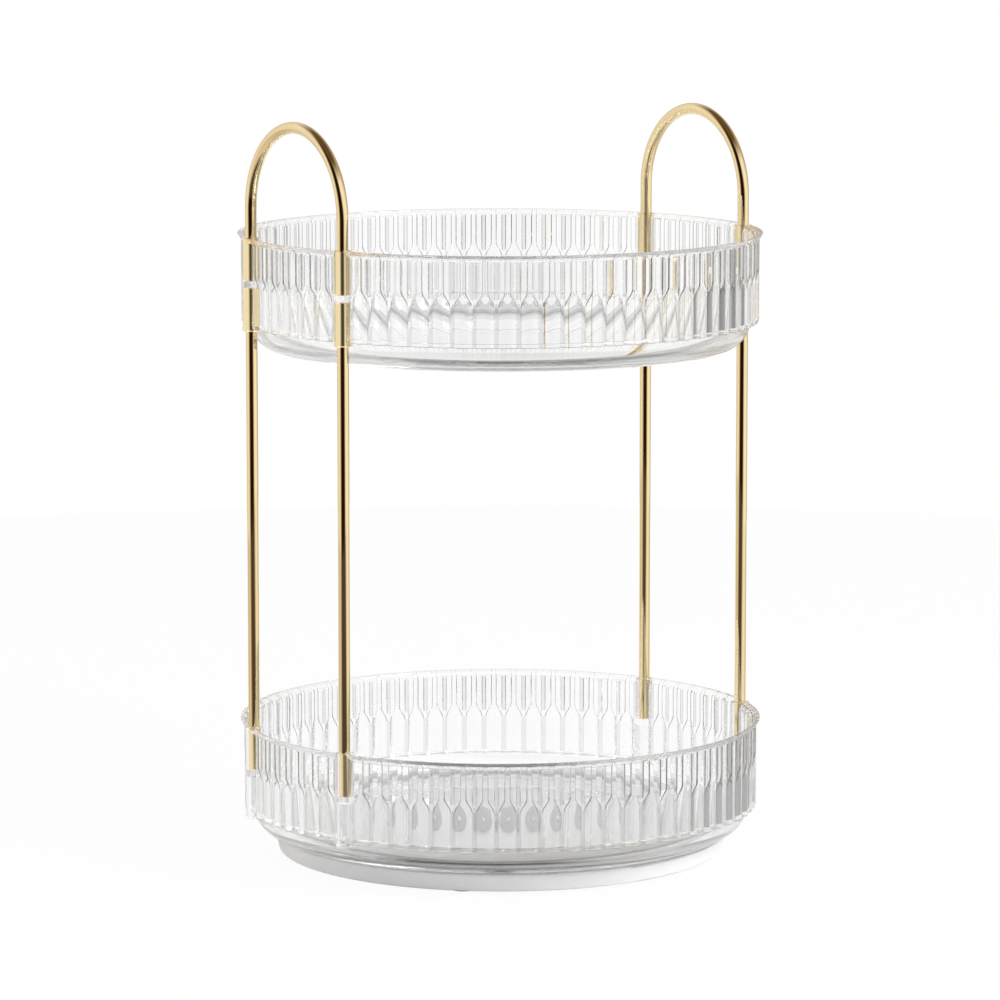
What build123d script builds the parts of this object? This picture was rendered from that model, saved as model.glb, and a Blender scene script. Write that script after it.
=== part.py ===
# Two-tier rotating makeup organizer: clear fluted trays joined by gold posts, on a low turntable.
# Lengths are in millimetres. The table is at height 0 and the two handles stand along X.
import os
from math import cos, pi, radians, sin

from build123d import *

os.makedirs("parts", exist_ok=True)

# Whole object
rim_dia = 230.0
tray_height = 50.0
tier_rise = 214.7
cut_overrun = 1.0

# Tray wall, from the rim down
lip_height = 2.8
lip_flare = 1.7
lip_land = 1.5
lip_rib = 0.5
mouth_depth = 3.6
neck_height = 12.7
shoulder_height = 6.0
wall_height = 38.9
wall_thickness = 1.8

# Flutes around the wall
flute_count = 76
flute_depth = 1.3
lip_rib_share = 0.20
lip_panel_share = 0.76
neck_crest_share = 0.20
neck_valley_share = 0.14
body_crest_share = 0.52
body_valley_share = 0.37

# Dish under the wall
ledge_thickness = 1.5
flange_setback = 3.8
flange_wall = 1.9
foot_setback = 8.5
floor_thickness = 3.0

# Posts, handles and their sockets
tube_dia = 5.0
tube_tip_chamfer = 0.4
socket_clearance = 0.1
socket_wall = 1.5
socket_inset = 1.5
socket_depth = 18.7
socket_septum = 2.9
socket_drop = 1.6
socket_play = 0.02
handle_flutes = 8
handle_leg = 13.2

# Turntable base
base_top_dia = 200.0
base_taper = 2.0
base_height = 8.0
base_plate = 2.0
base_skirt = 2.0
base_rounding = 1.0
rib_count = 8
rib_thickness = 1.6
rib_depth = 3.0
turn_gap = 0.6

# Feet
foot_count = 4
foot_lift = 1.0
foot_dia = 10.0
foot_recess = 0.5
foot_clearance = 0.1
foot_boss_wall = 1.5
foot_margin = 0.4

# Ball bearing
ball_count = 12
ball_dia = 5.0
track_gap = 3.3
ball_play = 0.03
pocket_clearance = 0.1
race_depth = 0.4
race_width = 6.0
cage_width = 8.0
cage_height = 3.0
trough_clearance = 0.5
trough_wall = 1.6

# Pivot at the middle of the turntable
spigot_dia = 12.0
pivot_clearance = 0.08
hub_wall = 4.0
hub_height = 4.6
washer_dia = 18.0
washer_thickness = 1.0
washer_play = 0.15
screw_dia = 3.8
screw_length = 6.0
screw_clearance = 0.05
screw_head_dia = 7.2
screw_head_height = 2.0
pilot_spare = 0.4

# Radii of the tray
rim_radius = rim_dia / 2
crest_radius = rim_radius - lip_flare
valley_radius = crest_radius - flute_depth
inner_radius = valley_radius - wall_thickness
mouth_radius = rim_radius - lip_land
flange_radius = crest_radius - flange_setback
foot_radius = flange_radius - foot_setback
bowl_radius = flange_radius - flange_wall
flute_pitch = 2 * pi * valley_radius / flute_count

# Heights in the tray, from its underside
wall_bottom = tray_height - wall_height
ledge_top = wall_bottom + ledge_thickness
lip_bottom = tray_height - lip_height
neck_bottom = lip_bottom - neck_height
body_top = neck_bottom - shoulder_height
mouth_bottom = tray_height - mouth_depth
floor_edge = bowl_radius - (ledge_top - floor_thickness)
socket_floor = tray_height - socket_depth
socket_ceiling = socket_floor - socket_septum
socket_bottom = wall_bottom - socket_drop

# Sockets: a pair at each end of X, each on the crest of a flute
socket_bore = tube_dia / 2 + socket_clearance
socket_radius = socket_bore + socket_wall
socket_ring = crest_radius - socket_inset
socket_swing = radians(360 * handle_flutes / flute_count / 2)
handle_reach = socket_ring * cos(socket_swing)
handle_radius = socket_ring * sin(socket_swing)
socket_places = {
    "front_right": (handle_reach, -handle_radius),
    "back_right": (handle_reach, handle_radius),
    "back_left": (-handle_reach, handle_radius),
    "front_left": (-handle_reach, -handle_radius),
}

# Heights above the table
base_top = foot_lift + base_height
plate_under = base_top - base_plate
lower_level = base_top + turn_gap
upper_level = lower_level + tier_rise
race_ceiling = lower_level + race_depth
ball_height = race_ceiling - ball_play - ball_dia / 2
trough_floor = ball_height - ball_dia / 2 - ball_play
trough_under = trough_floor - trough_wall
hub_bottom = base_top - hub_height
spigot_bottom = hub_bottom - washer_play
washer_bottom = spigot_bottom - washer_thickness

# Radii of the turntable
base_top_radius = base_top_dia / 2
base_bottom_radius = base_top_radius - base_taper
skirt_inner = base_bottom_radius - base_skirt
foot_boss_radius = foot_dia / 2 + foot_clearance + foot_boss_wall
foot_ring = skirt_inner - foot_margin - foot_boss_radius
trough_reach = foot_ring - foot_boss_radius - track_gap
ball_ring = trough_reach - trough_wall - trough_clearance - cage_width / 2
trough_inner = ball_ring - cage_width / 2 - trough_clearance
trough_outer = ball_ring + cage_width / 2 + trough_clearance
hub_bore = spigot_dia / 2 + pivot_clearance
hub_outer = hub_bore + hub_wall
rib_bottom = plate_under - rib_depth
foot_swing = 360 / foot_count / 2
rib_swing = 360 / rib_count / 2


# Corners of the fluted outline: flat crests and flat valleys, with slanting sides between them
def flute_outline(crest, valley, crest_share, valley_share):
    corners = []
    for half_flute in range(2 * flute_count):
        angle = pi * half_flute / flute_count
        on_crest = half_flute % 2 == 0
        radius = crest if on_crest else valley
        half_width = flute_pitch * (crest_share if on_crest else valley_share) / 2
        for side in (-half_width, half_width):
            corner = (radius * cos(angle) - side * sin(angle), radius * sin(angle) + side * cos(angle))
            corners.append(corner)
    return corners


body_outline = flute_outline(crest_radius, valley_radius, body_crest_share, body_valley_share)
neck_outline = flute_outline(crest_radius, valley_radius, neck_crest_share, neck_valley_share)
lip_outline = flute_outline(crest_radius, crest_radius - lip_rib, lip_rib_share, lip_panel_share)
rim_outline = flute_outline(rim_radius, rim_radius, lip_rib_share, lip_panel_share)

# Upper tray
upright = Plane(origin=(0, 0, upper_level), x_dir=(1, 0, 0), z_dir=(0, -1, 0))
with BuildPart() as upper_tray:
    # fluted wall: broad panels below, drawn in over the shoulders to narrow bars and wide facets
    flute_sections = {
        wall_bottom: body_outline,
        body_top: body_outline,
        neck_bottom: neck_outline,
        lip_bottom: neck_outline,
    }
    for height, outline in flute_sections.items():
        with BuildSketch(Plane.XY.offset(upper_level + height)):
            with BuildLine():
                Polyline(*outline, close=True)
            make_face()
    loft(ruled=True)
    # flared lip, with the crests running out at the rim
    for height, outline in {lip_bottom: lip_outline, tray_height: rim_outline}.items():
        with BuildSketch(Plane.XY.offset(upper_level + height)):
            with BuildLine():
                Polyline(*outline, close=True)
            make_face()
    loft(ruled=True)
    # rounded flange under the wall
    with BuildSketch(upright):
        with BuildLine():
            Polyline((flange_radius, wall_bottom), (0, wall_bottom), (0, 0), (foot_radius, 0))
            TangentArc((flange_radius, wall_bottom), (foot_radius, 0), tangent=(0, -1))
        make_face()
    revolve(axis=Axis.Z)
    # hollow of the dish
    with BuildSketch(upright):
        with BuildLine():
            Polyline((0, floor_thickness), (floor_edge, floor_thickness))
            TangentArc((bowl_radius, ledge_top), (floor_edge, floor_thickness), tangent=(0, -1))
            Polyline((bowl_radius, ledge_top), (inner_radius, ledge_top), (inner_radius, mouth_bottom))
            TangentArc((inner_radius, mouth_bottom), (mouth_radius, tray_height), tangent=(0, 1))
            Polyline(
                (mouth_radius, tray_height),
                (mouth_radius, tray_height + cut_overrun),
                (0, tray_height + cut_overrun),
                (0, floor_thickness),
            )
        make_face()
    revolve(axis=Axis.Z, mode=Mode.SUBTRACT)
    # sockets for the posts and the handles, closed off half-way
    with BuildSketch(Plane.XY.offset(upper_level + socket_bottom)):
        with Locations(*socket_places.values()):
            Circle(socket_radius)
    extrude(amount=tray_height - socket_bottom)
    with BuildSketch(Plane.XY.offset(upper_level + socket_floor)):
        with Locations(*socket_places.values()):
            Circle(socket_bore)
    extrude(amount=socket_depth + cut_overrun, mode=Mode.SUBTRACT)
    with BuildSketch(Plane.XY.offset(upper_level + socket_ceiling)):
        with Locations(*socket_places.values()):
            Circle(socket_bore)
    extrude(amount=socket_bottom - socket_ceiling - cut_overrun, mode=Mode.SUBTRACT)
upper_tray.part.label = "upper_tray"
export_step(upper_tray.part, "parts/upper_tray.step")

# Lower tray: the same moulding, with a track for the balls and the spigot that it turns on
with BuildPart() as lower_tray:
    add(upper_tray.part.moved(Location((0, 0, -tier_rise))))
    with BuildSketch(Plane.XY.offset(lower_level)):
        Circle(ball_ring + race_width / 2)
        Circle(ball_ring - race_width / 2, mode=Mode.SUBTRACT)
    extrude(amount=race_depth, mode=Mode.SUBTRACT)
    with BuildSketch(Plane.XY.offset(spigot_bottom)):
        Circle(spigot_dia / 2)
    extrude(amount=lower_level - spigot_bottom)
    with BuildSketch(Plane.XY.offset(spigot_bottom)):
        Circle(screw_dia / 2 + screw_clearance)
    extrude(amount=screw_length + pilot_spare, mode=Mode.SUBTRACT)
lower_tray.part.label = "lower_tray"
export_step(lower_tray.part, "parts/lower_tray.step")

# Posts, standing on the closed middle of the lower sockets and carrying the upper ones
post_bottom = lower_level + socket_floor
post_top = upper_level + socket_ceiling - socket_play
for place_name, place in socket_places.items():
    with BuildPart() as post:
        with BuildSketch(Plane.XY.offset(post_bottom)):
            with Locations(place):
                Circle(tube_dia / 2)
        extrude(amount=post_top - post_bottom)
        chamfer(post.edges().filter_by(GeomType.CIRCLE), tube_tip_chamfer)
    post.part.label = f"post_{place_name}"
    export_step(post.part, f"parts/post_{place_name}.step")

# Handles, bent from the same tube
leg_bottom = upper_level + socket_floor
leg_top = upper_level + tray_height + handle_leg
for side_name, reach in {"right": handle_reach, "left": -handle_reach}.items():
    with BuildPart() as handle:
        with BuildLine(Plane.YZ.offset(reach)):
            Line((-handle_radius, leg_bottom), (-handle_radius, leg_top))
            ThreePointArc((-handle_radius, leg_top), (0, leg_top + handle_radius), (handle_radius, leg_top))
            Line((handle_radius, leg_top), (handle_radius, leg_bottom))
        with BuildSketch(Plane.XY.offset(leg_bottom)):
            with Locations((reach, -handle_radius)):
                Circle(tube_dia / 2)
        sweep()
        chamfer(handle.edges().group_by(Axis.Z)[0], tube_tip_chamfer)
    handle.part.label = f"handle_{side_name}"
    export_step(handle.part, f"parts/handle_{side_name}.step")

# Turntable base: a shallow shell with a hub, a trough for the balls and stiffening ribs
with BuildPart() as turntable_base:
    with BuildSketch(Plane.XZ):
        with BuildLine():
            Polyline(
                (hub_bore, hub_bottom),
                (hub_outer, hub_bottom),
                (hub_outer, plate_under),
                (trough_inner - trough_wall, plate_under),
                (trough_inner - trough_wall, trough_under),
                (trough_reach, trough_under),
                (trough_reach, plate_under),
                (skirt_inner, plate_under),
                (skirt_inner, foot_lift),
                (base_bottom_radius, foot_lift),
                (base_top_radius, base_top),
                (trough_outer, base_top),
                (trough_outer, trough_floor),
                (trough_inner, trough_floor),
                (trough_inner, base_top),
                (hub_bore, base_top),
                close=True,
            )
        make_face()
    revolve(axis=Axis.Z)
    outer_edges = turntable_base.edges().filter_by(GeomType.CIRCLE).sort_by(SortBy.RADIUS)[-2:]
    fillet(outer_edges, base_rounding)
    rib_spans = ((hub_outer, trough_inner - trough_wall), (trough_reach, skirt_inner))
    for rib_start, rib_end in rib_spans:
        with BuildSketch(Plane.XY.offset(rib_bottom)):
            with PolarLocations((rib_start + rib_end) / 2, rib_count, start_angle=rib_swing):
                Rectangle(rib_end - rib_start + base_skirt, rib_thickness)
        extrude(amount=rib_depth)
    with BuildSketch(Plane.XY.offset(foot_lift)):
        with PolarLocations(foot_ring, foot_count, start_angle=foot_swing):
            Circle(foot_boss_radius)
    extrude(amount=plate_under - foot_lift)
    with BuildSketch(Plane.XY.offset(foot_lift)):
        with PolarLocations(foot_ring, foot_count, start_angle=foot_swing):
            Circle(foot_dia / 2 + foot_clearance)
    extrude(amount=foot_recess, mode=Mode.SUBTRACT)
turntable_base.part.label = "turntable_base"
export_step(turntable_base.part, "parts/turntable_base.step")

# Feet, sunk into their bosses
for foot in range(foot_count):
    with BuildPart() as rubber_foot:
        with BuildSketch():
            with PolarLocations(foot_ring, 1, start_angle=foot_swing + 360 * foot / foot_count):
                Circle(foot_dia / 2)
        extrude(amount=foot_lift + foot_recess)
    rubber_foot.part.label = f"rubber_foot_{foot + 1}"
    export_step(rubber_foot.part, f"parts/rubber_foot_{foot + 1}.step")

# Ball cage, sliding in the trough
with BuildPart() as ball_cage:
    with BuildSketch(Plane.XY.offset(trough_floor + ball_play)):
        Circle(ball_ring + cage_width / 2)
        Circle(ball_ring - cage_width / 2, mode=Mode.SUBTRACT)
        with PolarLocations(ball_ring, ball_count):
            Circle(ball_dia / 2 + pocket_clearance, mode=Mode.SUBTRACT)
    extrude(amount=cage_height)
ball_cage.part.label = "ball_cage"
export_step(ball_cage.part, "parts/ball_cage.step")

# Balls
with BuildPart() as bearing_balls:
    with Locations(Plane.XY.offset(ball_height)):
        with PolarLocations(ball_ring, ball_count):
            Sphere(ball_dia / 2)
bearing_balls.part.label = "bearing_balls"
export_step(bearing_balls.part, "parts/bearing_balls.step")

# Washer and screw that keep the tray on the base
with BuildPart() as pivot_washer:
    with BuildSketch(Plane.XY.offset(washer_bottom)):
        Circle(washer_dia / 2)
        Circle(screw_dia / 2 + screw_clearance, mode=Mode.SUBTRACT)
    extrude(amount=washer_thickness)
pivot_washer.part.label = "pivot_washer"
export_step(pivot_washer.part, "parts/pivot_washer.step")

with BuildPart() as pivot_screw:
    with BuildSketch(Plane.XY.offset(washer_bottom - screw_head_height)):
        Circle(screw_head_dia / 2)
    extrude(amount=screw_head_height)
    with BuildSketch(Plane.XY.offset(washer_bottom)):
        Circle(screw_dia / 2)
    extrude(amount=washer_thickness + screw_length)
pivot_screw.part.label = "pivot_screw"
export_step(pivot_screw.part, "parts/pivot_screw.step")
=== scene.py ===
from math import atan2, cos, hypot, pi, radians, sin

import bmesh
import bpy
from mathutils import Matrix, Vector


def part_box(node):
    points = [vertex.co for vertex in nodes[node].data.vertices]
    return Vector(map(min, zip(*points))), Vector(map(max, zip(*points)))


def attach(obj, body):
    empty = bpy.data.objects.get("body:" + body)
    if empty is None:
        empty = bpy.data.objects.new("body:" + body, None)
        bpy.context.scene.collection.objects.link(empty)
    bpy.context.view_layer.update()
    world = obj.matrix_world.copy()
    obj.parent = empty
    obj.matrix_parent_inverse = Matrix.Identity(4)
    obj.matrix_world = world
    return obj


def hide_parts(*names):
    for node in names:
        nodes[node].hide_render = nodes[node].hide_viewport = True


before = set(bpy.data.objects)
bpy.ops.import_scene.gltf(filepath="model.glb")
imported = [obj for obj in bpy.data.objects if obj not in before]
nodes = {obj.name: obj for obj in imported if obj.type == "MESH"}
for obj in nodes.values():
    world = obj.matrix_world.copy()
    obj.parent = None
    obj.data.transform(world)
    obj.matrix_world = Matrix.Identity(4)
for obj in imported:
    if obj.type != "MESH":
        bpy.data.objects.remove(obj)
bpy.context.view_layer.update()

scene = bpy.context.scene
scene.view_settings.view_transform = "Standard"
print("frame loaded:", len(nodes), "nodes")

# Where things stand, read from the frame
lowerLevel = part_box("upper_tray")[0].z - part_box("upper_tray")[1].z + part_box("lower_tray")[1].z
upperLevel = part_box("upper_tray")[0].z
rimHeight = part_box("upper_tray")[1].z - upperLevel

hair = 1e-6     # two places this close are the same
weld = 0.00002  # vertices this close are joined


def middleOf(node):
    low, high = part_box(node)
    return (low + high) / 2


postPlaces = [middleOf(name) for name in sorted(nodes) if name.startswith("post_")]


# Small helpers

def newObject(name, bm):
    mesh = bpy.data.meshes.new(name)
    bm.to_mesh(mesh)
    bm.free()
    piece = bpy.data.objects.new(name, mesh)
    scene.collection.objects.link(piece)
    return piece


def smoothShade(piece, angle):
    for face in piece.data.polygons:
        face.use_smooth = True
    piece.data.set_sharp_from_angle(angle=radians(angle))


def arcPoints(middle, start, end, steps):  # (radius, height) points along the shorter arc
    first = atan2(start[1] - middle[1], start[0] - middle[0])
    last = atan2(end[1] - middle[1], end[0] - middle[0])
    size = hypot(start[0] - middle[0], start[1] - middle[1])
    turn = (last - first + pi) % (2 * pi) - pi
    return [(middle[0] + size * cos(first + turn * n / steps),
             middle[1] + size * sin(first + turn * n / steps)) for n in range(steps + 1)]


def rounded(bm, geom, affect, size, segments, clamp=False):
    bmesh.ops.bevel(bm, geom=geom, offset=size, offset_type="OFFSET", affect=affect,
                    segments=segments, profile=0.5, material=-1, clamp_overlap=clamp)


def applied(piece, cutter, operation):  # a boolean made final, with the cutter thrown away
    change = piece.modifiers.new("cut", "BOOLEAN")
    change.operation = operation
    change.solver = "EXACT"
    change.object = cutter
    cut = piece.evaluated_get(bpy.context.evaluated_depsgraph_get())
    result = bpy.data.meshes.new_from_object(cut)
    piece.modifiers.clear()
    piece.data = result
    bpy.data.objects.remove(cutter)


# Clear trays

tray = {
    "flutes": 76,
    "crest": 0.1133, "valley": 0.112, "inner": 0.1102,
    "rim": 0.115, "mouth": 0.1135, "mouthBottom": 0.0464,
    "lipBottom": 0.0472, "lipRib": 0.0005, "lipStep": 0.0001,
    "neckBottom": 0.0345, "bodyTop": 0.0285, "wallBottom": 0.0111,
    "flange": 0.1095, "foot": 0.101, "flangeArc": 0.0115,
    "ledge": 0.0126, "bowl": 0.1076, "floor": 0.003,
    "crestShares": (0.75, 0.20, 0.20),   # body, neck, lip
    "valleyShares": (0.10, 0.14, 0.76),
    "stepShare": 0.04,                   # steep side of a crest or a valley, as a share of the pitch
    "stepRoom": 2.1,                     # both steep sides together leave a little of the facet
    "facetShares": (0.42, 0.58),         # depth of the slanting facet at its two edges
    "bulge": 0.00098,                    # how round a crest is in the body
    "edge": 0.00008, "edgeSegments": 2,
    "corner": 0.0003, "cornerSegments": 3,
    "crestColumns": 5,                   # from the middle of a crest to its edge
    "sideColumns": 4,                    # from there to the middle of the valley
    "arcSteps": 8, "mouthSteps": 6, "shoulderSteps": 6,
    "wallReach": 1.01, "rimReach": 0.1, "footReach": 0.9,  # in corners: where the fluted wall starts and ends
    "shadedDisc": 0.028,                       # round patch of painted shade in the middle of the underside
    "flangeBand": (0.0006, 0.005),       # heights of the grey band of painted shade low on the flange
    "bowlBand": 0.0006,                  # height of the grey line of painted shade at the foot of the bowl
    "grooveReach": 0.003,                # how far a groove's painted grey shade runs down below the neck
    "smoothAngle": 35,
    # painted shade: how grey the edges of the moulding are painted beside its panels, with the disc for the
    # upper and lower tray
    "paintedShades": {"bar": 0.65, "shoulder": 0.9, "groove": 0.45, "grooveFloor": 0.26, "side": 0.26,
                  "foot": 0.8, "shadedDisc": (0.12, 0.66), "bowl": 0.72, "flange": 0.45},
}
turning = {  # only under the lower tray: spigot with the screw's hole, and the groove that runs on the balls
    "hole": 0.00195, "holeTop": 0.00105, "spigot": 0.006, "spigotBottom": -0.00535,
    "track": (0.070, 0.076), "trackTop": 0.0004,
}
pitch = 2 * pi / tray["flutes"]
lipStart = tray["lipBottom"] + tray["corner"] / 2


def blendShares(shares, height):  # share of the pitch at this height
    if height >= lipStart:
        return shares[2]
    along = (height - tray["bodyTop"]) / (tray["neckBottom"] - tray["bodyTop"])
    along = min(max(along, 0), 1)
    along = along * along * (3 - 2 * along)
    return shares[0] + (shares[1] - shares[0]) * along


def shapeFlute(vert, column):  # move a vertex of the plain wall to its place in the flute
    height = vert.co.z
    size = hypot(vert.co.x, vert.co.y)
    inCrest = tray["crestColumns"]
    crestHalf = blendShares(tray["crestShares"], height) / 2
    valleyHalf = blendShares(tray["valleyShares"], height) / 2
    side = min(tray["stepShare"], (0.5 - crestHalf - valleyHalf) / tray["stepRoom"])
    depth = tray["crest"] - tray["valley"]
    if height >= lipStart:
        depth = tray["lipRib"] * (rimHeight - height) / (rimHeight - tray["lipBottom"])
    body = (blendShares(tray["crestShares"], height) - tray["crestShares"][1]) / (
        tray["crestShares"][0] - tray["crestShares"][1])
    bulge = tray["bulge"] * body
    places = [crestHalf * n / inCrest for n in range(inCrest + 1)]
    places += [crestHalf + side, 0.5 - valleyHalf - side, 0.5 - valleyHalf, 0.5]
    drops = [bulge * (n / inCrest) ** 2 for n in range(inCrest + 1)]
    drops += [bulge + (depth - bulge) * share for share in (*tray["facetShares"], 1, 1)]
    angle = places[abs(column)] * (1 if column > 0 else -1) * pitch
    # the crest and the valley are flat panels, so their corners stand a little further out
    size = (size - drops[abs(column)]) / cos(angle if abs(column) <= inCrest else pitch / 2 - abs(angle))
    vert.co.x, vert.co.y = size * cos(angle), size * sin(angle)


def trayProfile(turns):  # half section from the middle of the underside round to the middle of the floor
    flangeTop = (tray["flange"], tray["wallBottom"])
    underside = [(0, 0), (tray["shadedDisc"], 0)]
    if turns:
        underside = [(0, turning["holeTop"]), (turning["hole"], turning["holeTop"]),
                     (turning["hole"], turning["spigotBottom"]), (turning["spigot"], turning["spigotBottom"]),
                     (turning["spigot"], 0), (tray["shadedDisc"], 0)]
        for radius, heights in zip(turning["track"], ((0, turning["trackTop"]), (turning["trackTop"], 0))):
            underside += [(radius, height) for height in heights]
    flangeMiddle = (tray["flange"] - tray["flangeArc"], tray["wallBottom"])
    outside = arcPoints(flangeMiddle, (tray["foot"], 0), flangeTop, tray["arcSteps"])
    rise, steps = tray["neckBottom"] - tray["bodyTop"], tray["shoulderSteps"]
    shoulder = [tray["bodyTop"] + rise * n / steps for n in range(steps + 1)]
    wall = [(tray["crest"], height) for height in (tray["wallBottom"], *shoulder, tray["lipBottom"])]
    lip = [(tray["crest"] + tray["lipStep"], tray["lipBottom"] + tray["corner"]),
           (tray["rim"], rimHeight), (tray["mouth"], rimHeight)]
    flare = tray["mouth"] - tray["inner"]
    mouthArc = (flare ** 2 + (rimHeight - tray["mouthBottom"]) ** 2) / (2 * flare)
    mouthMiddle = (tray["inner"] + mouthArc, tray["mouthBottom"])
    mouth = arcPoints(mouthMiddle, (tray["mouth"], rimHeight), (tray["inner"], tray["mouthBottom"]),
                      tray["mouthSteps"])[1:]
    inside = [(tray["inner"], tray["ledge"]), (tray["bowl"], tray["ledge"])]
    bowlFoot = tray["bowl"] - (tray["ledge"] - tray["floor"])
    bowl = arcPoints((bowlFoot, tray["ledge"]), (tray["bowl"], tray["ledge"]), (bowlFoot, tray["floor"]),
                     tray["arcSteps"])[1:]
    floor = [(tray["shadedDisc"], tray["floor"]), (0, tray["floor"])]
    return underside + outside + wall + lip + mouth + inside + bowl + floor


def plainPaintedShade(face, turns):  # painted shade on the disc, the bowl's band and the flange's band, told by their place
    middle = face.calc_center_median()
    outward = hypot(middle.x, middle.y)
    tones, floor = tray["paintedShades"], tray["floor"]
    bowlFoot = tray["bowl"] - tray["ledge"] + floor
    if outward < tray["shadedDisc"] and middle.z < floor / 2:
        return tones["shadedDisc"][turns]
    if bowlFoot < outward < tray["foot"] and floor < middle.z < floor + tray["bowlBand"]:
        return tones["bowl"]
    if tray["foot"] < outward and tray["flangeBand"][0] < middle.z < tray["flangeBand"][1]:
        return tones["flange"]
    return 0


def flutePaintedShade(face, byColumn):  # painted shade on steep sides, edges, grooves and the foot, told by their columns
    tones, crestEdge = tray["paintedShades"], tray["crestColumns"]
    at = {abs(byColumn[v]) for v in face.verts}
    low, high = min(v.co.z for v in face.verts), max(v.co.z for v in face.verts)
    inGroove = low > tray["neckBottom"] - tray["grooveReach"] and high < tray["lipBottom"] + hair
    if low < tray["wallBottom"] + tray["corner"] * tray["footReach"]:
        return tones["foot"]
    if at == {crestEdge, crestEdge + 1} and low > tray["bodyTop"] - hair:
        return tones["shoulder" if high < tray["neckBottom"] + hair else "bar"]
    if at == {crestEdge + 2, crestEdge + 3} and inGroove:
        return tones["groove"]
    if at == {crestEdge + 3, crestEdge + 4} and inGroove:
        return tones["grooveFloor"]
    if min(at) >= crestEdge and high < tray["bodyTop"] + hair:
        return tones["side"]
    return 0


def buildTray(name, level, turns):
    inCrest = tray["crestColumns"]
    columns = 2 * (inCrest + tray["sideColumns"])
    step = pitch / columns
    bm = bmesh.new()
    chain = [bm.verts.new((radius, 0, height)) for radius, height in trayProfile(turns)]
    for a, b in zip(chain, chain[1:]):
        bm.edges.new((a, b))
    # round the corners of the section
    corners = [(tray["crest"], tray["wallBottom"]), (tray["rim"], rimHeight), (tray["mouth"], rimHeight),
               (tray["inner"], tray["ledge"]), (tray["bowl"], tray["ledge"])]
    soft = [v for v in bm.verts if any(hypot(v.co.x - r, v.co.z - z) < hair for r, z in corners)]
    rounded(bm, soft, "VERTICES", tray["corner"], tray["cornerSegments"])
    # one flute wide, then its outside is shaped and its edges rounded
    bmesh.ops.rotate(bm, cent=(0, 0, 0), matrix=Matrix.Rotation(-pitch / 2, 3, "Z"), verts=bm.verts)
    bmesh.ops.spin(bm, geom=bm.verts[:] + bm.edges[:], cent=(0, 0, 0), axis=(0, 0, 1),
                   angle=pitch, steps=columns)
    outer = [v for v in bm.verts
             if hypot(v.co.x, v.co.y) > tray["crest"] - tray["corner"] * tray["wallReach"]
             and v.co.z < rimHeight - tray["corner"] * tray["rimReach"]]
    byColumn = {v: round(atan2(v.co.y, v.co.x) / step) for v in outer}
    for v, column in byColumn.items():
        shapeFlute(v, column)
    # painted shade on each face: grey where the moulding's edges, grooves, foot, disc and bands should look
    # dark
    paintedShade = bm.faces.layers.float.new("paintedShade")
    for face in bm.faces:
        fluted = all(v in byColumn for v in face.verts)
        face[paintedShade] = flutePaintedShade(face, byColumn) if fluted else plainPaintedShade(face, turns)
    creases = [e for e in bm.edges if all(v in byColumn for v in e.verts)
               and byColumn[e.verts[0]] == byColumn[e.verts[1]]
               and abs(byColumn[e.verts[0]]) in (inCrest, inCrest + 3)
               and min(v.co.z for v in e.verts) > tray["bodyTop"] - hair
               and max(v.co.z for v in e.verts) < tray["lipBottom"] + hair]
    rounded(bm, creases, "EDGES", tray["edge"], tray["edgeSegments"], clamp=True)
    # all the way round
    bmesh.ops.spin(bm, geom=bm.verts[:] + bm.edges[:] + bm.faces[:], cent=(0, 0, 0), axis=(0, 0, 1),
                   angle=2 * pi, steps=tray["flutes"], use_duplicate=True, use_merge=True)
    bmesh.ops.remove_doubles(bm, verts=bm.verts, dist=weld)
    bmesh.ops.recalc_face_normals(bm, faces=bm.faces)
    bmesh.ops.translate(bm, verts=bm.verts, vec=(0, 0, level))
    print(name, "wall:", len(bm.faces), "faces,", sum(not e.is_manifold for e in bm.edges), "open edges")
    return newObject(name, bm)


socket = {
    "boss": 0.0041,
    "bores": (0.00248, 0.0026),          # upper tray, which grips the tubes, and lower tray, which is loose
    "depth": 0.01865, "septum": 0.003, "bottom": 0.0095,
    "overrun": 0.0016,                   # how far a cutter stands out of the boss
    "rimGap": 0.00002,                   # a boss ends just under the rim
    "edge": 0.0006, "edgeSegments": 3, "sides": 40,
}


def socketPins(name, radius, low, high, edge):  # a pin at each post, rounded at its lower end
    bm = bmesh.new()
    for place in postPlaces:
        middle = Matrix.Translation((place.x, place.y, (low + high) / 2))
        made = bmesh.ops.create_cone(bm, cap_ends=True, segments=socket["sides"], radius1=radius,
                                     radius2=radius, depth=high - low, matrix=middle)
        if edge:
            rims = [e for e in bm.edges
                    if all(v in made["verts"] and abs(v.co.z - low) < hair for v in e.verts)]
            rounded(bm, rims, "EDGES", edge, socket["edgeSegments"])
    return newObject(name, bm)


def addSockets(piece, level, turns):
    top = level + rimHeight
    bottom = level + socket["bottom"]
    middle = top - socket["depth"]
    bore = socket["bores"][turns]
    bosses = socketPins("bosses", socket["boss"], bottom, top - socket["rimGap"], socket["edge"])
    applied(piece, bosses, "UNION")
    upperBores = socketPins("upperBores", bore, middle, top + socket["overrun"], 0)
    applied(piece, upperBores, "DIFFERENCE")
    lowerBores = socketPins("lowerBores", bore, bottom - socket["overrun"], middle - socket["septum"], 0)
    applied(piece, lowerBores, "DIFFERENCE")


# Materials

def newMaterial(name):
    made = bpy.data.materials.new(name)
    made.use_nodes = True
    return made, made.node_tree.nodes, made.node_tree.links


def setMaterial(piece, material):
    piece.data.materials.clear()
    piece.data.materials.append(material)


def surfaceNoise(parts, links, scale):
    place = parts.new("ShaderNodeTexCoord")
    noise = parts.new("ShaderNodeTexNoise")
    noise.inputs["Scale"].default_value = scale
    links.new(place.outputs["Object"], noise.inputs["Vector"])
    return noise


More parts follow.
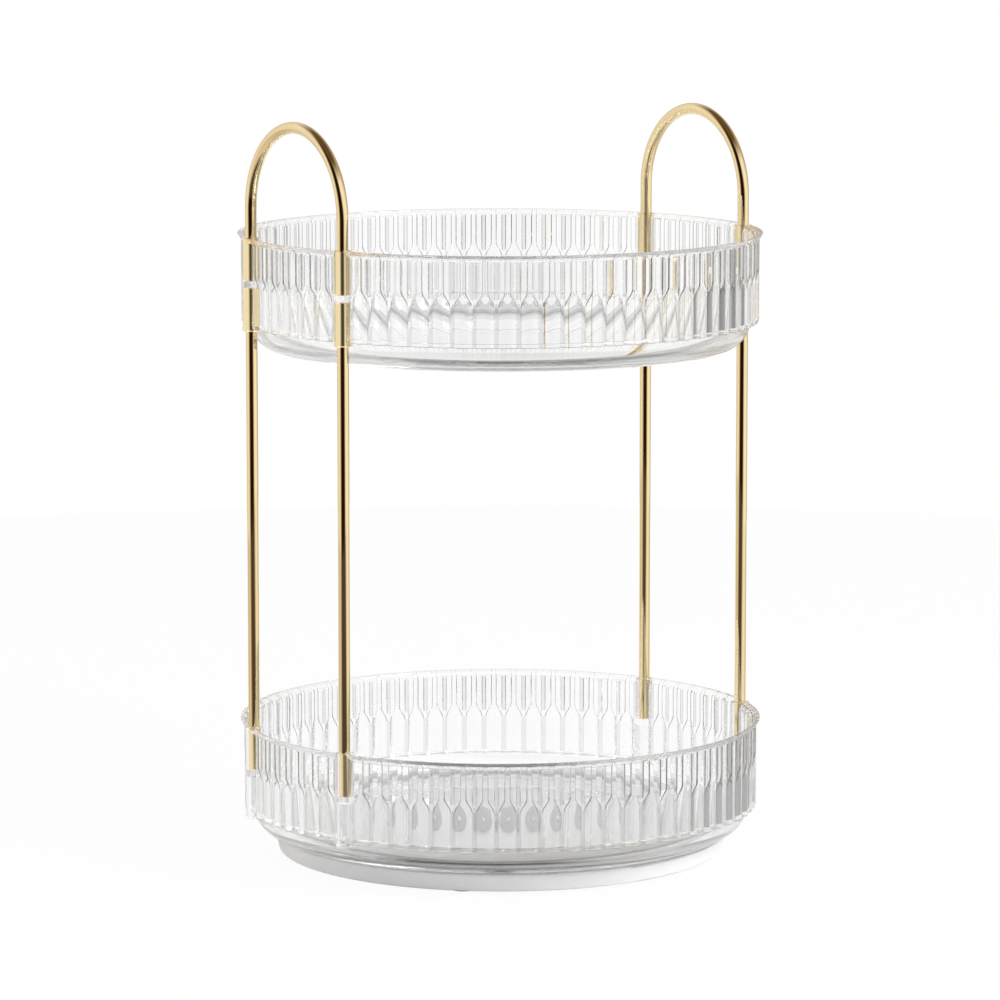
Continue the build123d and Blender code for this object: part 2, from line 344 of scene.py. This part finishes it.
def colourBetween(parts, links, value, tones):
    tone = parts.new("ShaderNodeValToRGB")
    for stop, colour in zip(tone.color_ramp.elements, tones):
        stop.color = (*colour, 1)
    links.new(value, tone.inputs["Fac"])
    links.new(tone.outputs["Color"], parts["Principled BSDF"].inputs["Base Color"])


def roughnessBetween(parts, links, value, limits):
    spread = parts.new("ShaderNodeMapRange")
    spread.inputs["To Min"].default_value, spread.inputs["To Max"].default_value = limits
    links.new(value, spread.inputs["Value"])
    links.new(spread.outputs["Result"], parts["Principled BSDF"].inputs["Roughness"])


clear = {
    "tones": ((0.997, 0.998, 0.998), (0.06, 0.06, 0.06)),  # clear panel, and the darkest painted shade on an edge
    "bending": 1.5,
    "waves": 90, "waveDetail": 1, "roughness": (0.0, 0.03),  # slow waviness of a moulded wall
    "depthColour": (0.75, 0.77, 0.77), "depthDensity": 4.5,
}


def clearPlastic():
    made, parts, links = newMaterial("clearPlastic")
    shader = parts["Principled BSDF"]
    shader.inputs["Transmission Weight"].default_value = 1
    shader.inputs["IOR"].default_value = clear["bending"]
    # painted shade: the face attribute turns the clear base colour grey
    edge = parts.new("ShaderNodeAttribute")
    edge.attribute_name = "paintedShade"
    colourBetween(parts, links, edge.outputs["Fac"], clear["tones"])
    waves = surfaceNoise(parts, links, clear["waves"])
    waves.inputs["Detail"].default_value = clear["waveDetail"]
    roughnessBetween(parts, links, waves.outputs["Fac"], clear["roughness"])
    dull = parts.new("ShaderNodeVolumeAbsorption")
    dull.inputs["Color"].default_value = (*clear["depthColour"], 1)
    dull.inputs["Density"].default_value = clear["depthDensity"]
    links.new(dull.outputs["Volume"], parts["Material Output"].inputs["Volume"])
    return made


plastic = clearPlastic()
for trayName, trayLevel in (("lower_tray", lowerLevel), ("upper_tray", upperLevel)):
    shell = buildTray(trayName + "_shell", trayLevel, trayName == "lower_tray")
    setMaterial(shell, plastic)
    addSockets(shell, trayLevel, trayName == "lower_tray")
    smoothShade(shell, tray["smoothAngle"])
    even = shell.modifiers.new("evenNormals", "WEIGHTED_NORMAL")  # broad faces stay flat beside rounded edges
    even.keep_sharp = True
    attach(shell, "carousel")
    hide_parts(trayName)
    print(trayName, "done:", len(shell.data.polygons), "faces")


# Tubes, base, feet and bearing keep their CAD shapes and get a finish each

finishes = {  # by the start of the nodes' names
    "goldPlate": {"on": ("post_", "handle_"), "tones": ((0.94, 0.75, 0.42), (0.97, 0.80, 0.49)),
                  "roughness": (0.04, 0.07), "grain": 400, "metal": 1},
    "whitePlastic": {"on": ("turntable",), "tones": ((0.88, 0.88, 0.88), (0.92, 0.92, 0.92)),
                     "roughness": (0.25, 0.35), "grain": 600, "metal": 0},
    "footRubber": {"on": ("rubber",), "tones": ((0.09, 0.09, 0.09), (0.12, 0.12, 0.12)),
                   "roughness": (0.75, 0.85), "grain": 600, "metal": 0},
    "cagePlastic": {"on": ("ball_cage",), "tones": ((0.82, 0.82, 0.82), (0.88, 0.88, 0.88)),
                    "roughness": (0.4, 0.5), "grain": 600, "metal": 0},
    "brightSteel": {"on": ("bearing", "pivot"), "tones": ((0.5, 0.5, 0.52), (0.6, 0.6, 0.62)),
                    "roughness": (0.2, 0.3), "grain": 600, "metal": 1},
}
for finish, look in finishes.items():
    made, parts, links = newMaterial(finish)
    parts["Principled BSDF"].inputs["Metallic"].default_value = look["metal"]
    grain = surfaceNoise(parts, links, look["grain"])
    colourBetween(parts, links, grain.outputs["Fac"], look["tones"])
    roughnessBetween(parts, links, grain.outputs["Fac"], look["roughness"])
    for name, node in nodes.items():
        if name.startswith(look["on"]):
            setMaterial(node, made)
print("finishes set:", len(finishes))


# Stage: camera, floor, world and lamps

camera = {
    "azimuth": -34.7, "elevation": 7.9426, "distance": 2.27565, "lens": 186.066,
    "shift": (-0.000275, -0.025775),
}
aim = Vector((0, 0, (lowerLevel + upperLevel) / 2 + rimHeight))
turnAngle, tilt = radians(camera["azimuth"]), radians(camera["elevation"])
back = Vector((sin(turnAngle) * cos(tilt), -cos(turnAngle) * cos(tilt), sin(tilt)))
eyeData = bpy.data.cameras.new("eye")
eyeData.lens = camera["lens"]
eyeData.shift_x, eyeData.shift_y = camera["shift"]
eye = bpy.data.objects.new("eye", eyeData)
scene.collection.objects.link(eye)
eye.location = aim + back * camera["distance"]
eye.rotation_euler = (-back).to_track_quat("-Z", "Y").to_euler()
scene.camera = eye
print("camera set")

stage = {
    "floorRadius": 1.05, "floorSides": 128, "floorDrop": 0.0002,
    "floorColour": (0.9, 0.9, 0.9), "floorRoughness": 0.9, "floorGlow": 0.95,
    "ambient": (0.6, 0.6, 0.6), "bounces": 96,
    # brightness by degrees to the right of the photograph's side: what the gold mirrors, and what the plastic
    # mirrors inside
    "goldRoom": ((-180, 0.5), (-140, 0.75), (-95, 0.92), (-70, 0.85), (-54, 0.35), (-42, 0.015), (12, 0.015),
                 (24, 0.3), (38, 0.95), (55, 1.0), (90, 1.0), (112, 0.75), (135, 0.5), (180, 0.45)),
    "goldFloor": ((-180, 1.0), (-140, 0.9), (-110, 0.6), (-66, 0.75), (-50, 0.35), (-36, 0.03), (24, 0.03),
                  (42, 0.7), (60, 0.95), (90, 0.9), (115, 0.6), (150, 0.8), (180, 1.0)),
    "plasticRoom": ((-180, 1.0), (-140, 1.0), (-110, 0.9), (-60, 1.0), (-36, 0.7), (-24, 0.07), (18, 0.07),
                    (34, 0.8), (55, 0.95), (70, 0.25), (100, 0.42), (125, 0.2), (150, 1.0), (180, 1.0)),
    "plasticFloor": ((-180, 1.0), (-140, 1.0), (-110, 0.9), (-60, 0.95), (-36, 0.75), (-24, 0.15),
                     (12, 0.15), (28, 0.75), (55, 0.8), (70, 0.4), (130, 0.4), (150, 1.0), (180, 1.0)),
    "lean": 0.8,                         # how far the gold's dark part slants to the left as it rises
    "goldAbove": (0.6, 0.9, 0.12),       # where a room starts and ends changing upwards, and its level there
    "plasticAbove": (0.02, 0.2, 1.0),
    "warmth": (1, 1.2, 1.5),             # dark parts of the gold's room are browner
}


def joined(parts, links, operation, *values):  # one maths node
    node = parts.new("ShaderNodeMath")
    node.operation = operation
    for socketIn, value in zip(node.inputs, values):
        if isinstance(value, (int, float)):
            socketIn.default_value = value
        else:
            links.new(value, socketIn)
    return node.outputs[0]


def mixedColour(parts, links, share, first, second):
    tone = parts.new("ShaderNodeMix")
    tone.data_type = "RGBA"
    links.new(share, tone.inputs["Factor"])
    for name, value in (("A", first), ("B", second)):
        if isinstance(value, tuple):
            tone.inputs[name].default_value = value
        else:
            links.new(value, tone.inputs[name])
    return tone.outputs["Result"]


def seenRays(parts, links, path):  # 1 for camera, glossy and transmission rays
    both = joined(parts, links, "MAXIMUM", path.outputs["Is Camera Ray"], path.outputs["Is Glossy Ray"])
    return joined(parts, links, "MAXIMUM", both, path.outputs["Is Transmission Ray"])


def distanceAlong(parts, links, place, direction):
    along = parts.new("ShaderNodeVectorMath")
    along.operation = "DOT_PRODUCT"
    along.inputs[1].default_value = direction
    links.new(place, along.inputs[0])
    return along.outputs["Value"]


def warmed(level, warmth):
    return (*(level ** power for power in warmth), 1)


def aroundBrightness(parts, links, place, levels, lean, warmth):  # by compass direction
    towards = distanceAlong(parts, links, place, (back.x, back.y, 0))
    rightwards = distanceAlong(parts, links, place, (-back.y, back.x, 0))
    angle = joined(parts, links, "ARCTAN2", rightwards, towards)
    upwards = distanceAlong(parts, links, place, (0, 0, 1))
    angle = joined(parts, links, "ADD", angle, joined(parts, links, "MULTIPLY", upwards, lean))
    turnShare = joined(parts, links, "MULTIPLY_ADD", angle, 0.5 / pi, 0.5)
    ramp = parts.new("ShaderNodeValToRGB")
    stops = ramp.color_ramp.elements
    for degrees, _ in levels[1:-1]:
        stops.new(degrees / 360 + 0.5)
    for stop, (_, level) in zip(stops, levels):
        stop.color = warmed(level, warmth)
    links.new(turnShare, ramp.inputs["Fac"])
    return ramp.outputs["Color"]


def fadedUpwards(parts, links, place, around, above, warmth):  # another level overhead
    share = parts.new("ShaderNodeMapRange")
    share.inputs["From Min"].default_value, share.inputs["From Max"].default_value = above[:2]
    links.new(distanceAlong(parts, links, place, (0, 0, 1)), share.inputs["Value"])
    return mixedColour(parts, links, share.outputs["Result"], around, warmed(above[2], warmth))


def surroundings(parts, links, path, place, goldLevels, plasticLevels):  # white, unless a ray was mirrored
    plain = (1, 1, 1)
    around = aroundBrightness(parts, links, place, plasticLevels, 0, plain)
    around = fadedUpwards(parts, links, place, around, stage["plasticAbove"], plain)
    mirrored = joined(parts, links, "GREATER_THAN", path.outputs["Glossy Depth"], 0.5)
    inside = mixedColour(parts, links, mirrored, (*plain, 1), around)
    metal = aroundBrightness(parts, links, place, goldLevels, stage["lean"], stage["warmth"])
    metal = fadedUpwards(parts, links, place, metal, stage["goldAbove"], stage["warmth"])
    offMetal = joined(parts, links, "GREATER_THAN", path.outputs["Is Glossy Ray"],
                      path.outputs["Is Transmission Ray"])
    return mixedColour(parts, links, offMetal, inside, metal)


bm = bmesh.new()
bmesh.ops.create_circle(bm, cap_ends=True, segments=stage["floorSides"], radius=stage["floorRadius"])
bmesh.ops.translate(bm, verts=bm.verts, vec=(0, 0, -stage["floorDrop"]))
floor = newObject("floor", bm)
made, parts, links = newMaterial("paleFloor")
matt = parts["Principled BSDF"]
matt.inputs["Base Color"].default_value = (*stage["floorColour"], 1)
matt.inputs["Roughness"].default_value = stage["floorRoughness"]
path = parts.new("ShaderNodeLightPath")
place = parts.new("ShaderNodeTexCoord").outputs["Object"]
glow = parts.new("ShaderNodeEmission")
links.new(surroundings(parts, links, path, place, stage["goldFloor"], stage["plasticFloor"]),
          glow.inputs["Color"])
mixed = parts.new("ShaderNodeMixShader")
glowShare = joined(parts, links, "MULTIPLY", seenRays(parts, links, path), stage["floorGlow"])
links.new(glowShare, mixed.inputs["Fac"])
links.new(matt.outputs["BSDF"], mixed.inputs[1])
links.new(glow.outputs["Emission"], mixed.inputs[2])
links.new(mixed.outputs["Shader"], parts["Material Output"].inputs["Surface"])
setMaterial(floor, made)
print("floor set")

world = bpy.data.worlds.new("studio")
scene.world = world
world.use_nodes = True
parts, links = world.node_tree.nodes, world.node_tree.links
path = parts.new("ShaderNodeLightPath")
place = parts.new("ShaderNodeTexCoord").outputs["Generated"]
ambient = parts["Background"]
ambient.inputs["Color"].default_value = (*stage["ambient"], 1)
backdrop = parts.new("ShaderNodeBackground")
links.new(surroundings(parts, links, path, place, stage["goldRoom"], stage["plasticRoom"]),
          backdrop.inputs["Color"])
mixed = parts.new("ShaderNodeMixShader")
links.new(seenRays(parts, links, path), mixed.inputs["Fac"])
links.new(ambient.outputs["Background"], mixed.inputs[1])
links.new(backdrop.outputs["Background"], mixed.inputs[2])
links.new(mixed.outputs["Shader"], parts["World Output"].inputs["Surface"])
scene.cycles.max_bounces = stage["bounces"]
scene.cycles.glossy_bounces = stage["bounces"]
scene.cycles.transmission_bounces = stage["bounces"]
print("room set")

lamps = {
    "key": {"place": (0.6, -1.2, 1.1), "width": 0.8, "power": 20},
    "fill": {"place": (-1.2, 0.4, 1.0), "width": 1.0, "power": 4},
}
for name, look in lamps.items():
    lamp = bpy.data.lights.new(name, "AREA")
    lamp.size, lamp.energy = look["width"], look["power"]
    holder = bpy.data.objects.new(name, lamp)
    scene.collection.objects.link(holder)
    holder.location = look["place"]
    holder.visible_glossy = False
    holder.rotation_euler = (Vector(look["place"]) - aim).to_track_quat("Z", "Y").to_euler()
print("lamps set:", len(lamps))

print("scene ready")
